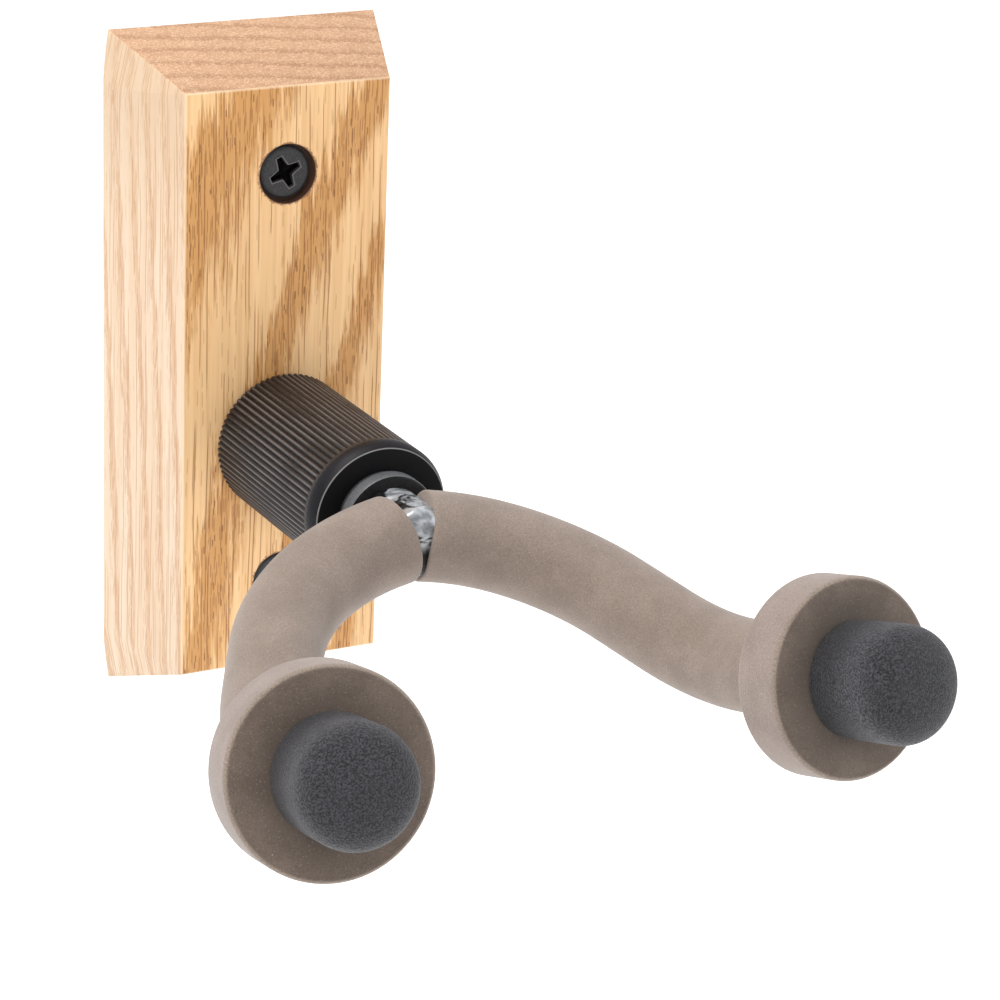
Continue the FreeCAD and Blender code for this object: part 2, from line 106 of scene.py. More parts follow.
def new_object(name, verts, faces, smooth_angle=None):
    """A mesh object from millimetre points."""
    mesh = bpy.data.meshes.new(name)
    mesh.from_pydata([tuple(c * MM for c in v) for v in verts], [], faces)
    mesh.validate()
    tidy = bmesh.new()
    tidy.from_mesh(mesh)
    bmesh.ops.remove_doubles(tidy, verts=tidy.verts, dist=1e-7)
    bmesh.ops.recalc_face_normals(tidy, faces=tidy.faces)
    tidy.to_mesh(mesh)
    tidy.free()
    piece = bpy.data.objects.new(name, mesh)
    bpy.context.scene.collection.objects.link(piece)
    if smooth_angle is not None:
        soften(piece, smooth_angle)
    return piece


def soften(piece, angle):
    """Smooth shading, with edges sharper than angle kept crisp."""
    mesh = piece.data
    mesh.polygons.foreach_set("use_smooth", [True] * len(mesh.polygons))
    mesh.set_sharp_from_angle(angle=math.radians(angle))


def grid_faces(rows, columns):
    """Quads joining rows of points, each row's end joined to its start."""
    faces = []
    for row in range(rows - 1):
        for column in range(columns):
            following = (column + 1) % columns
            faces.append((
                row * columns + column,
                row * columns + following,
                (row + 1) * columns + following,
                (row + 1) * columns + column,
            ))
    return faces


def frame_along(direction):
    """Two unit vectors square to a direction."""
    side = direction.cross(Vector((0, 0, 1)))
    if side.length < 1e-6:
        side = direction.cross(Vector((0, 1, 0)))
    side.normalize()
    return side, side.cross(direction).normalized()


def lathe(profile, centre, direction, segments=128, wobble=None):
    """Points turned about an axis: profile holds (radius, distance along the axis).

    wobble(turn, distance) scales the radius.
    """
    centre = Vector(centre)
    direction = Vector(direction).normalized()
    side, above = frame_along(direction)
    verts = []
    for radius, along in profile:
        for k in range(segments):
            turn = 2 * math.pi * k / segments
            scale = wobble(turn, along) if wobble else 1.0
            verts.append(
                centre + direction * along
                + (side * math.cos(turn) + above * math.sin(turn)) * radius * scale
            )
    return verts, grid_faces(len(profile), segments)


def outward_ring(radius, out, height, segments):
    """A ring of points about an axis square to the wall, at a height and a distance out."""
    turns = [2 * math.pi * k / segments for k in range(segments)]
    return [(radius * math.cos(turn), -out, height + radius * math.sin(turn)) for turn in turns]


def rounded(corner_in, corner, corner_out, radius):
    """Profile points that round one corner between two neighbours."""
    steps = 6
    a, b, c = (Vector(p) for p in (corner_in, corner, corner_out))
    before = (a - b).normalized()
    after = (c - b).normalized()
    half = before.angle(after) / 2
    reach = radius / math.tan(half)
    middle = b + (before + after).normalized() * (radius / math.sin(half))
    start = (b + before * reach - middle).normalized()
    end = (b + after * reach - middle).normalized()
    sweep = start.angle(end)
    square = (end - start * start.dot(end)).normalized()
    turns = [sweep * k / steps for k in range(steps + 1)]
    return [
        tuple(middle + (start * math.cos(turn) + square * math.sin(turn)) * radius)
        for turn in turns
    ]


# ---------------------------------------------------------------- node helpers


class Nodes:
    """A short way to write a material's nodes."""

    def __init__(self, name):
        self.material = bpy.data.materials.new(name)
        self.material.use_nodes = True
        self.tree = self.material.node_tree
        self.shader = self.tree.nodes["Principled BSDF"]

    def add(self, kind, settings=None, **inputs):
        node = self.tree.nodes.new(kind)
        for key, value in (settings or {}).items():
            setattr(node, key, value)
        for key, value in inputs.items():
            self.put(node.inputs[key.replace("_", " ")], value)
        return node

    def put(self, socket, value):
        if isinstance(value, bpy.types.NodeSocket):
            self.tree.links.new(value, socket)
        else:
            socket.default_value = value

    def math(self, operation, a, b=0.0):
        node = self.tree.nodes.new("ShaderNodeMath")
        node.operation = operation
        self.put(node.inputs[0], a)
        self.put(node.inputs[1], b)
        return node.outputs[0]

    def plus(self, a, b):
        return self.math("ADD", a, b)

    def minus(self, a, b):
        return self.math("SUBTRACT", a, b)

    def times(self, a, b):
        return self.math("MULTIPLY", a, b)

    def without(self, mask):
        """The mask turned over, 1 where it is 0."""
        return self.minus(1.0, mask)

    def distance(self, a, b):
        """Length of the flat vector (a, b)."""
        return self.math("SQRT", self.plus(self.times(a, a), self.times(b, b)))

    def vector_math(self, operation, a, b):
        """The outputs of one operation on two vectors."""
        node = self.tree.nodes.new("ShaderNodeVectorMath")
        node.operation = operation
        self.put(node.inputs[0], a)
        self.put(node.inputs[1], b)
        return node.outputs

    def place(self, scale=(1000.0, 1000.0, 1000.0), offset=(0, 0, 0)):
        """The point in millimetres, stretched by scale / 1000."""
        where = self.tree.nodes.new("ShaderNodeTexCoord").outputs["Object"]
        mapping = self.add("ShaderNodeMapping", Vector=where)
        mapping.inputs["Scale"].default_value = scale
        mapping.inputs["Location"].default_value = offset
        return mapping.outputs["Vector"]

    def noise(self, size, detail=2.0, rough=0.5, distort=0.0, offset=(0, 0, 0)):
        """Noise whose grains measure size (x, y, z) in millimetres; its value is about 0.5."""
        scale = tuple(1000.0 / s for s in size)
        node = self.tree.nodes.new("ShaderNodeTexNoise")
        self.put(node.inputs["Vector"], self.place(scale, offset))
        node.inputs["Scale"].default_value = 1.0
        node.inputs["Detail"].default_value = detail
        node.inputs["Roughness"].default_value = rough
        node.inputs["Distortion"].default_value = distort
        return node.outputs["Fac"]

    def apart(self, vector):
        """A vector's three parts."""
        split = self.tree.nodes.new("ShaderNodeSeparateXYZ")
        self.put(split.inputs[0], vector)
        return split.outputs

    def strokes(self, across, along, gap, length, width, share):
        """Thin strokes along the grain, one to a cell of gap by length; share is the part drawn."""
        where = self.add("ShaderNodeCombineXYZ", X=self.math("DIVIDE", across, gap),
                         Y=self.math("DIVIDE", along, length)).outputs[0]
        cells = self.add("ShaderNodeTexVoronoi", {"voronoi_dimensions": "2D"},
                         Vector=where, Scale=1.0)
        off = self.apart(self.vector_math("SUBTRACT", where, cells.outputs["Position"])[0])
        beside = self.times(self.math("ABSOLUTE", off[0]), gap)
        body = self.without(self.ramp(beside, 0.25 * width, 0.75 * width))
        ends = self.without(self.ramp(self.math("ABSOLUTE", off[1]), 0.25, 0.48))
        drawn = self.ramp(self.apart(cells.outputs["Color"])[0], 0.98 - share, 1.0 - share)
        return self.times(self.times(body, ends), drawn)

    def specks(self, cell, radius, share, offset=(0, 0, 0)):
        """Scattered round specks, at most one to a cell."""
        scale = (1000.0 / cell,) * 3
        cells = self.add("ShaderNodeTexVoronoi", Vector=self.place(scale, offset), Scale=1.0)
        reach = self.times(cells.outputs["Distance"], cell)
        dot = self.without(self.ramp(reach, 0.5 * radius, radius))
        drawn = self.ramp(self.apart(cells.outputs["Color"])[0], 0.96 - share, 1.0 - share)
        return self.times(dot, drawn)

    def from_discs(self):
        """Distance from the nearer disc's middle, in millimetres."""
        middles = [tuple(at_pivot(DISC_CENTRE, side)) for side in SIDES]
        found = [self.vector_math("DISTANCE", self.place(), m)["Value"] for m in middles]
        return self.math("MINIMUM", *found)

    def ramp(self, value, low, high):
        """0 below low, 1 above high, smooth between."""
        node = self.tree.nodes.new("ShaderNodeMapRange")
        node.interpolation_type = "SMOOTHSTEP"
        self.put(node.inputs["Value"], value)
        node.inputs["From Min"].default_value = low
        node.inputs["From Max"].default_value = high
        return node.outputs["Result"]

    def mix(self, factor, first, second):
        node = self.tree.nodes.new("ShaderNodeMix")
        node.data_type = "RGBA"
        node.clamp_factor = True
        self.put(node.inputs["Factor"], factor)
        for socket, value in ((node.inputs[6], first), (node.inputs[7], second)):
            self.put(socket, value if isinstance(value, bpy.types.NodeSocket) else (*value, 1.0))
        return node.outputs[2]

    def tint(self, colour, mask, amount, tone):
        """The colour turned towards a tone where the mask is drawn, by an amount of 0 to 1."""
        return self.mix(self.times(mask, amount), colour, tone)

    def bump(self, height, strength, distance):
        """A normal from a height in units of distance, in millimetres."""
        node = self.tree.nodes.new("ShaderNodeBump")
        node.inputs["Strength"].default_value = strength
        node.inputs["Distance"].default_value = distance * MM
        self.put(node.inputs["Height"], height)
        return node.outputs["Normal"]

    def finish(self, **inputs):
        for key, value in inputs.items():
            self.put(self.shader.inputs[key.replace("_", " ")], value)
        return self.material


# ---------------------------------------------------------------- materials

# growth rings: their spacing square to the front face, the middle of the main dark band on that
# face, x = a + b z + c z^2, how the rings crowd together to its right, and a shift that keeps every
# ring number positive and sets where a band lies within its ring
RING_DEPTH = 3.5
BAND_LINE = (-3.36, 0.3398, 0.00162)
RING_SLOPE, RING_CROWD, RING_BOW = 0.0585, 0.0185, 6.0
RING_SHIFT = 40.17

FRONT_WOOD, FRONT_WOOD_DARK = (0.865, 0.570, 0.300), (0.800, 0.500, 0.245)
FRONT_BAND, FRONT_FIBRE = (0.560, 0.268, 0.078), (0.50, 0.26, 0.085)
# the side faces' colours are their own edge-grain tones, also made paler and greyer than the front
# by painted sheen and side light
SIDE_WOOD_AND_SHEEN, SIDE_WOOD_DARK_AND_SHEEN = (0.680, 0.545, 0.415), (0.640, 0.480, 0.340)
SIDE_BAND, SIDE_FIBRE = (0.540, 0.325, 0.190), (0.560, 0.350, 0.215)
SIDE_UPPER = (0.530, 0.385, 0.255)
END_WOOD, END_WOOD_DARK = (0.505, 0.302, 0.180), (0.450, 0.258, 0.148)
END_BAND = (0.330, 0.172, 0.086)
END_DARK_SPECK, END_PALE_SPECK = (0.310, 0.160, 0.080), (0.690, 0.490, 0.330)
FRONT_STROKE, SIDE_STROKE = (0.300, 0.112, 0.028), (0.480, 0.265, 0.140)
DEEP_PORE = (0.150, 0.050, 0.014)
# painted highlight for the front face's eased edges
FRONT_EDGE_HIGHLIGHT = (0.800, 0.620, 0.420)
# the torn rim is the wood's own reddish colour; the hole colour is painted shade inside the screw
# holes
TORN_RIM, HOLE_SHADE = (0.230, 0.090, 0.040), (0.030, 0.013, 0.008)


def ring_bands(n, x, y, z):
    """Masks of the dark porous bands: wide ones, and narrow ones for the sides and ends."""
    # a ring number is whole near a dark band's middle, and rings lie closer together to the right
    a, b, c = BAND_LINE
    band = n.plus(n.times(n.plus(n.times(z, c), b), z), a)
    off = n.minus(x, band)
    bow = n.math("SQRT", n.plus(n.times(off, off), RING_BOW ** 2))
    ring = n.plus(n.times(off, RING_SLOPE), n.times(bow, RING_CROWD))
    ring = n.plus(ring, n.math("DIVIDE", n.plus(y, BLOCK_THICK), RING_DEPTH))
    drift = n.times(n.minus(n.noise((13, 13, 55), 2.0), 0.5), 0.55)
    jag = n.times(n.minus(n.noise((0.9, 0.9, 13), 3.0, 0.6), 0.5), 0.75)
    ring = n.plus(n.plus(ring, drift), jag)
    phase = n.math("FRACT", n.plus(ring, RING_SHIFT))
    rise = n.ramp(phase, 0.0, 0.13)
    porous = n.times(rise, n.without(n.ramp(phase, 0.36, 0.60)))
    narrow = n.times(rise, n.without(n.ramp(phase, 0.16, 0.46)))
    return porous, narrow


def pore_strokes(n, x, y, z, porous):
    """Masks of the long fine lines, the short pits and the deep pores of the dark bands."""
    wander = n.times(n.noise((8, 8, 28), 1.0, offset=(2, 4, 6)), 1.2)
    across = n.plus(n.plus(x, n.times(y, 1.7)), wander)
    shifted = n.plus(across, 0.9)
    lines = n.math("MAXIMUM", n.strokes(across, z, 1.9, 30, 0.20, 0.85),
                   n.strokes(shifted, n.plus(z, 17), 2.9, 17, 0.16, 0.6))
    pits = n.times(n.strokes(across, z, 0.50, 3.3, 0.17, 0.85), porous)
    deep = n.times(n.strokes(shifted, z, 1.6, 1.8, 0.22, 0.26), porous)
    stray = n.strokes(shifted, z, 1.2, 3.6, 0.18, 0.30)
    return lines, n.math("MAXIMUM", pits, n.times(stray, 0.55)), deep


def end_grain(n, narrow, speckle):
    """Colour of the sawn ends: bands crossed by dark and pale specks."""
    patch = n.noise((2.6, 1.2, 2.6), 3.0, 0.6)
    colour = n.mix(n.ramp(patch, 0.35, 0.65), END_WOOD, END_WOOD_DARK)
    colour = n.tint(colour, narrow, 0.75, END_BAND)
    colour = n.tint(colour, n.ramp(speckle, 0.50, 0.62), 0.36, END_DARK_SPECK)
    return n.tint(colour, n.ramp(speckle, 0.47, 0.36), 0.45, END_PALE_SPECK)


def paint_edge_highlight(n, colour, x, y, z):
    """The eased edges round the front face get a painted highlight, a pale line."""
    beyond = n.math("MAXIMUM", n.minus(n.math("ABSOLUTE", x), BLOCK_FRONT[0] / 2),
                    n.minus(n.math("ABSOLUTE", z), BLOCK_FRONT[1] / 2))
    at_face = n.ramp(y, 0.50 - BLOCK_THICK, 0.25 - BLOCK_THICK)
    return n.tint(colour, n.times(n.ramp(beyond, -0.32, -0.12), at_face), 0.38, FRONT_EDGE_HIGHLIGHT)


def darken_holes(n, colour, x, y, z):
    """The screw holes get painted shade inside, with a torn reddish rim at the front."""
    front_part = n.ramp(y, -15.2, -16.2)
    for height in SCREW_HEIGHTS:
        reach = n.distance(x, n.minus(z, height))
        torn = n.plus(reach, n.times(n.noise((0.6, 0.6, 0.6), 3.0, 0.7), 1.5))
        rim = n.times(n.without(n.ramp(torn, 5.95, 6.15)), front_part)
        colour = n.tint(colour, rim, 0.80, TORN_RIM)
        # painted shade inside the screw holes
        inside = n.without(n.ramp(reach, SCREW_HOLE_RAD, SCREW_HOLE_RAD + 0.12))
        colour = n.tint(colour, n.times(inside, front_part), 0.90, HOLE_SHADE)
    return colour


def oak():
    """Flat-sawn oak: slanting porous bands in front, fine streaks on the sides, speckled ends."""
    n = Nodes("oak")
    x, y, z = n.apart(n.place())
    facing = n.apart(n.tree.nodes.new("ShaderNodeTexCoord").outputs["Normal"])
    side = n.ramp(n.math("ABSOLUTE", facing[0]), 0.45, 0.85)
    end = n.ramp(n.math("ABSOLUTE", facing[2]), 0.45, 0.85)
    porous, narrow = ring_bands(n, x, y, z)
    lines, pits, deep = pore_strokes(n, x, y, z, porous)
    fibre = n.noise((0.40, 0.40, 26), 3.0, 0.6)
    streak = n.noise((1.6, 1.6, 60), 2.0, 0.5, offset=(3, 7, 1))
    speckle = n.noise((0.34, 0.34, 0.34), 2.0, 0.6, offset=(1, 1, 5))

    front_tone = n.mix(n.ramp(streak, 0.30, 0.70), FRONT_WOOD, FRONT_WOOD_DARK)
    front_tone = n.tint(front_tone, porous, 0.85, FRONT_BAND)
    front_tone = n.tint(front_tone, n.ramp(fibre, 0.40, 0.75), 0.30, FRONT_FIBRE)
    # the sides' tone: edge grain with painted sheen, paler and greyer than the front
    side_tone_and_sheen = n.mix(n.ramp(streak, 0.30, 0.70), SIDE_WOOD_AND_SHEEN, SIDE_WOOD_DARK_AND_SHEEN)
    side_tone_and_sheen = n.tint(side_tone_and_sheen, narrow, 0.60, SIDE_BAND)
    side_tone_and_sheen = n.tint(side_tone_and_sheen, n.ramp(fibre, 0.45, 0.75), 0.25, SIDE_FIBRE)
    side_tone_and_sheen = n.tint(side_tone_and_sheen, n.ramp(z, 15.0, 55.0), 0.70, SIDE_UPPER)

    colour = n.mix(side, front_tone, side_tone_and_sheen)
    stroke = n.mix(side, FRONT_STROKE, SIDE_STROKE)
    colour = n.tint(colour, lines, 0.72, stroke)
    colour = n.tint(colour, pits, 0.64, stroke)
    colour = n.tint(colour, n.times(deep, n.without(side)), 0.65, DEEP_PORE)
    colour = n.mix(end, colour, end_grain(n, narrow, speckle))
    colour = paint_edge_highlight(n, colour, x, y, z)
    colour = darken_holes(n, colour, x, y, z)

    hollows = n.math("MAXIMUM", deep, n.math("MAXIMUM", pits, lines))
    relief = n.minus(n.times(fibre, 0.35), hollows)
    relief = n.minus(relief, n.times(n.times(speckle, end), 1.4))
    n.shader.inputs["Specular IOR Level"].default_value = 0.35
    return n.finish(Base_Color=colour, Roughness=n.plus(0.44, n.times(fibre, 0.16)),
                    Normal=n.bump(relief, 0.40, 0.12))


RUBBER_SPECK = (0.55, 0.50, 0.44)
# painted highlight along the edge of a disc's face
DISC_EDGE_HIGHLIGHT = (0.370, 0.300, 0.240)


def rubber(name, light, dark, dusting, cap_shade_and_edge_highlight=False):
    """Matte moulded rubber: mottling, a fine sanded grain and pale specks.

    For a disc's face it adds painted shade round the cap and a painted highlight at the edge.
    """
    n = Nodes(name)
    mottle = n.noise((6, 6, 6), 4.0, 0.6)
    grain = n.noise((0.26, 0.26, 0.26), 3.0, 0.7)
    colour = n.mix(n.ramp(mottle, 0.32, 0.68), light, dark)
    if cap_shade_and_edge_highlight:
        # painted shade round the foot of the cap
        cap_shade = n.without(n.ramp(n.from_discs(), CAP_RAD - 0.5, DISC_RAD - 1.5))
        colour = n.tint(colour, cap_shade, 0.45, tuple(0.50 * c for c in dark))
        # painted highlight along the face's outer edge
        edge = n.ramp(n.from_discs(), DISC_RAD - 0.70, DISC_RAD - 0.30)
        colour = n.tint(colour, edge, 0.55, DISC_EDGE_HIGHLIGHT)
    colour = n.tint(colour, n.ramp(grain, 0.38, 0.66), 0.45, tuple(0.55 * c for c in dark))
    colour = n.tint(colour, n.specks(0.50, 0.13, 0.60), dusting, RUBBER_SPECK)
    colour = n.tint(colour, n.specks(4.0, 0.16, 0.35, (3, 8, 5)), 0.45, RUBBER_SPECK)
    n.shader.inputs["Specular IOR Level"].default_value = 0.22
    n.shader.inputs["Sheen Weight"].default_value = 0.22
    n.shader.inputs["Sheen Roughness"].default_value = 0.55
    return n.finish(Base_Color=colour, Roughness=n.plus(0.70, n.times(grain, 0.16)),
                    Normal=n.bump(grain, 0.35, 0.12))


# the pebble colours paint the shading of the pebbled skin, dark in the pits and light on the pebbles
CAP_PIT_SHADE, CAP_PEBBLE_LIT = (0.001, 0.001, 0.002), (0.080, 0.079, 0.096)
CAP_BLOOM = (0.055, 0.055, 0.066)
# painted shade at the cap's foot and on its crown
CAP_FOOT_SHADE, CAP_CROWN_SHADE = (0.003, 0.003, 0.004), (0.004, 0.004, 0.006)


def grainy_cap():
    """Charcoal rubber with a pebbled skin painted as shading in dark pits and light pebbles, a faint
    powdery bloom, and painted shade at the foot and the crown.
    """
    n = Nodes("cap_rubber")
    pebble = n.noise((0.30, 0.30, 0.30), 2.0, 0.65)
    bloom = n.noise((5.0, 5.0, 5.0), 3.0, 0.6)
    colour = n.mix(n.ramp(pebble, 0.38, 0.64), CAP_PIT_SHADE, CAP_PEBBLE_LIT)
    colour = n.tint(colour, n.ramp(bloom, 0.42, 0.72), 0.26, CAP_BLOOM)
    # painted shade at the foot, where the cap meets the disc
    foot = n.without(n.ramp(n.from_discs(), CAP_RAD - 0.2, CAP_RAD + 4.0))
    colour = n.tint(colour, foot, 0.70, CAP_FOOT_SHADE)
    # painted shade on the crown of the dome
    crown = n.ramp(n.from_discs(), CAP_STRAIGHT + 3.2, CAP_STRAIGHT + CAP_DOME)
    colour = n.tint(colour, crown, 0.40, CAP_CROWN_SHADE)
    n.shader.inputs["Specular IOR Level"].default_value = 0.36
    n.shader.inputs["Sheen Weight"].default_value = 0.10
    n.shader.inputs["Sheen Roughness"].default_value = 0.35
    return n.finish(Base_Color=colour, Roughness=n.plus(0.44, n.times(pebble, 0.2)),
                    Normal=n.bump(pebble, 1.0, 0.42))


HOUSING_BLACK, HOUSING_BROWN = (0.012, 0.011, 0.013), (0.020, 0.013, 0.009)
# the crest colour is a painted highlight along the knurl's crests
HOUSING_CREST_HIGHLIGHT, HOUSING_GRAIN = (0.160, 0.142, 0.142), (0.040, 0.037, 0.038)
# the lip colour is a painted highlight round the front edge
HOUSING_NOSE, HOUSING_LIP_HIGHLIGHT = (0.006, 0.006, 0.009), (0.300, 0.290, 0.290)


def knurled_black():
    """Satin black metal with painted highlights in lines along the knurl's crests and round the
    front lip, browner towards the top.
    """
    n = Nodes("housing_black")
    x, y, z = n.apart(n.place())
    height = n.minus(z, PIVOT_Z)
    reach = n.distance(x, height)
    grain = n.noise((0.25, 1.2, 0.25), 3.0, 0.6)
    cloud = n.noise((6, 12, 6), 2.0, 0.5)
    knurl = n.ramp(y, -HOUSING_FRONT + 3.1, -HOUSING_FRONT + 4.2)
    crest = n.times(n.ramp(reach, HOUSING_RAD - 0.075, HOUSING_RAD - 0.015), knurl)
    # painted highlight along the crests, in patches
    pale_marks = n.times(crest, n.ramp(cloud, 0.30, 0.60))
    nose = n.without(n.ramp(y, -HOUSING_FRONT + 2.4, -HOUSING_FRONT + 3.2))
    # painted highlight: a pale line round the front lip
    lip = n.without(n.ramp(y, -HOUSING_FRONT + 0.12, -HOUSING_FRONT + 0.26))
    colour = n.tint(HOUSING_BLACK, n.ramp(height, 2.0, 11.0), 0.8, HOUSING_BROWN)
    colour = n.tint(colour, pale_marks, 0.55, HOUSING_CREST_HIGHLIGHT)
    colour = n.tint(colour, n.ramp(grain, 0.45, 0.72), 0.25, HOUSING_GRAIN)
    colour = n.tint(colour, nose, 0.80, HOUSING_NOSE)
    colour = n.tint(colour, lip, 0.60, HOUSING_LIP_HIGHLIGHT)
    shine = n.minus(0.36, n.times(nose, 0.20))
    return n.finish(Base_Color=colour, Specular_IOR_Level=shine,
                    Roughness=n.plus(0.36, n.times(grain, 0.18)), Normal=n.bump(grain, 0.15, 0.04))


def black_finish(name, base, pale_marks, roughness, shine, wear):
    """Black coated metal with a fine grain and slightly rubbed high spots."""
    n = Nodes(name)
    grain = n.noise((0.25, 0.25, 0.25), 3.0, 0.6)
    cloud = n.noise((5, 5, 5), 2.0, 0.5)
    colour = n.tint(base, n.ramp(grain, 0.40, 0.70), wear, pale_marks)
    colour = n.tint(colour, n.ramp(cloud, 0.35, 0.75), 0.25, tuple(0.6 * c for c in base))
    n.shader.inputs["Specular IOR Level"].default_value = shine
    return n.finish(Base_Color=colour, Roughness=n.plus(roughness, n.times(grain, 0.16)),
                    Normal=n.bump(grain, 0.18, 0.05))


SCREW_BLACK, SCREW_GRAIN = (0.016, 0.015, 0.016), (0.070, 0.064, 0.064)
# painted highlight on the cross's lip, and painted shade down in the recess
SCREW_LIP_HIGHLIGHT, SCREW_RECESS_SHADE = (0.190, 0.182, 0.180), (0.002, 0.002, 0.002)


def screw_black():
    """Black screw finish with a painted highlight on the lip of the cross and painted shade down in
    the recess.
    """
    n = Nodes("screw_black")
    top = -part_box("wall_screw_upper")[0][1] / MM
    x, y, z = n.apart(n.place())
    depth = n.plus(y, top)
    reach = n.distance(x, n.minus(n.math("ABSOLUTE", z), SCREW_HEIGHTS[0]))
    grain = n.noise((0.22, 0.22, 0.22), 3.0, 0.65)
    colour = n.tint(SCREW_BLACK, n.ramp(grain, 0.42, 0.68), 0.5, SCREW_GRAIN)
    # painted highlight on the raised lip round the cross
    colour = n.tint(colour, n.without(n.ramp(depth, 0.02, 0.08)), 0.55, SCREW_LIP_HIGHLIGHT)
    # painted shade down in the cross recess
    within = n.times(n.ramp(reach, 3.4, 3.2), n.ramp(depth, 2.6, 2.3))
    recess_shade = n.times(n.ramp(depth, 0.30, 0.75), within)
    colour = n.tint(colour, recess_shade, 0.92, SCREW_RECESS_SHADE)
    shine = n.minus(0.5, n.times(recess_shade, 0.45))
    return n.finish(Base_Color=colour, Specular_IOR_Level=shine,
                    Roughness=n.plus(0.36, n.times(grain, 0.16)), Normal=n.bump(grain, 0.25, 0.05))


WELD_BLACK = (0.008, 0.008, 0.009)
# painted reflections on the gloss black weld
WELD_REFLECTION_GREY, WELD_REFLECTION_PALE = (0.17, 0.18, 0.195), (0.42, 0.435, 0.46)


def glossy_weld():
    """A shiny lump of weld under gloss black: pale scaly patches of painted reflection on its upper
    half, broken by bare black.
    """
    n = Nodes("weld_black")
    ripple = n.noise((3.0, 3.0, 1.7), 3.0, 0.55, distort=0.5)
    patches = n.noise((6.0, 6.0, 4.0), 3.0, 0.6, distort=0.4, offset=(2, 9, 4))
    height = n.minus(n.apart(n.place())[2], PIVOT_Z)
    # painted reflections in patches, on the upper half only
    lit = n.times(n.ramp(patches, 0.43, 0.49), n.ramp(height, -1.2, 1.0))
    grey = n.mix(n.ramp(ripple, 0.35, 0.65), WELD_REFLECTION_GREY, WELD_REFLECTION_PALE)
    n.shader.inputs["Metallic"].default_value = 0.25
    n.shader.inputs["Coat Roughness"].default_value = 0.12
    n.shader.inputs["Specular IOR Level"].default_value = 0.30
    return n.finish(Base_Color=n.mix(lit, WELD_BLACK, grey), Coat_Weight=n.times(lit, 0.8),
                    Roughness=n.plus(0.20, n.times(ripple, 0.2)), Normal=n.bump(ripple, 0.8, 0.40))


def plain_metal(name, bright, dull, roughness):
    """Turned or plated metal with fine tool marks."""
    n = Nodes(name)
    marks = n.noise((0.2, 3.0, 0.2), 3.0, 0.6)
    stain = n.noise((3, 3, 3), 3.0, 0.6)
    n.shader.inputs["Metallic"].default_value = 1.0
    return n.finish(Base_Color=n.mix(n.ramp(stain, 0.35, 0.75), bright, dull),
                    Roughness=n.plus(roughness, n.times(marks, 0.2)),
                    Normal=n.bump(marks, 0.2, 0.04))


def plain_nylon(name, light, dark):
    """Moulded nylon with a faint grain."""
    n = Nodes(name)
    grain = n.noise((0.4, 0.4, 0.4), 3.0, 0.6)
    return n.finish(Base_Color=n.mix(n.ramp(grain, 0.35, 0.7), light, dark),
                    Roughness=n.plus(0.45, n.times(grain, 0.2)), Normal=n.bump(grain, 0.2, 0.05))


def dress(piece, material):
    """Put one material on every slot of a piece or CAD node."""
    mesh = piece.data
    if not mesh.materials:
        mesh.materials.append(material)
    for index in range(len(mesh.materials)):
        mesh.materials[index] = material


def dress_faces(piece, material, chosen):
    """Add a material for the faces that chosen(face) picks."""
    piece.data.materials.append(material)
    for face in piece.data.polygons:
        if chosen(face):
            face.material_index = 1


def install(piece, body, material, slot, *stands_for):
    """Dress a piece, join it to its body and say which CAD nodes it replaces."""
    dress(piece, material)
    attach(piece, body)
    if stands_for:
        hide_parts(*stands_for)


# ---------------------------------------------------------------- oak block


def convex_mesh(points):
    """The convex solid round some points."""
    form = bmesh.new()
    for point in points:
        form.verts.new([c * MM for c in point])
    bmesh.ops.convex_hull(form, input=form.verts)
    bmesh.ops.dissolve_limit(
        form, angle_limit=math.radians(0.5), verts=form.verts, edges=form.edges
    )
    return form


def bevel_edges(form, chosen, width, segments):
    """Round the edges whose two ends chosen(a, b) accepts, in millimetres."""
    edges = [edge for edge in form.edges if chosen(*(vert.co / MM for vert in edge.verts))]
    bmesh.ops.bevel(
        form, geom=edges, offset=width * MM, segments=segments, profile=0.5, affect="EDGES",
        clamp_overlap=True,
    )


def cut_away(piece, cutters):
    """Subtract cutter objects from a piece and keep the result as its mesh."""
    for cutter in cutters:
        modifier = piece.modifiers.new("cut", "BOOLEAN")
        modifier.operation = "DIFFERENCE"
        modifier.solver = "EXACT"
        modifier.object = cutter
    bpy.context.view_layer.update()
    result = bpy.data.meshes.new_from_object(
        piece.evaluated_get(bpy.context.evaluated_depsgraph_get())
    )
    piece.modifiers.clear()
    piece.data = result
    for cutter in cutters:
        bpy.data.objects.remove(cutter)


def hole_cutter(name, height, profile):
    """A solid of revolution pointing out of the wall; profile is (radius, distance out)."""
    segments = 96
    verts, faces = lathe(profile, (0, 0, height), (0, -1, 0), segments)
    last = (len(profile) - 1) * segments
    faces.append(tuple(range(segments)))
    faces.append(tuple(last + k for k in range(segments)))
    return new_object(name, verts, faces)


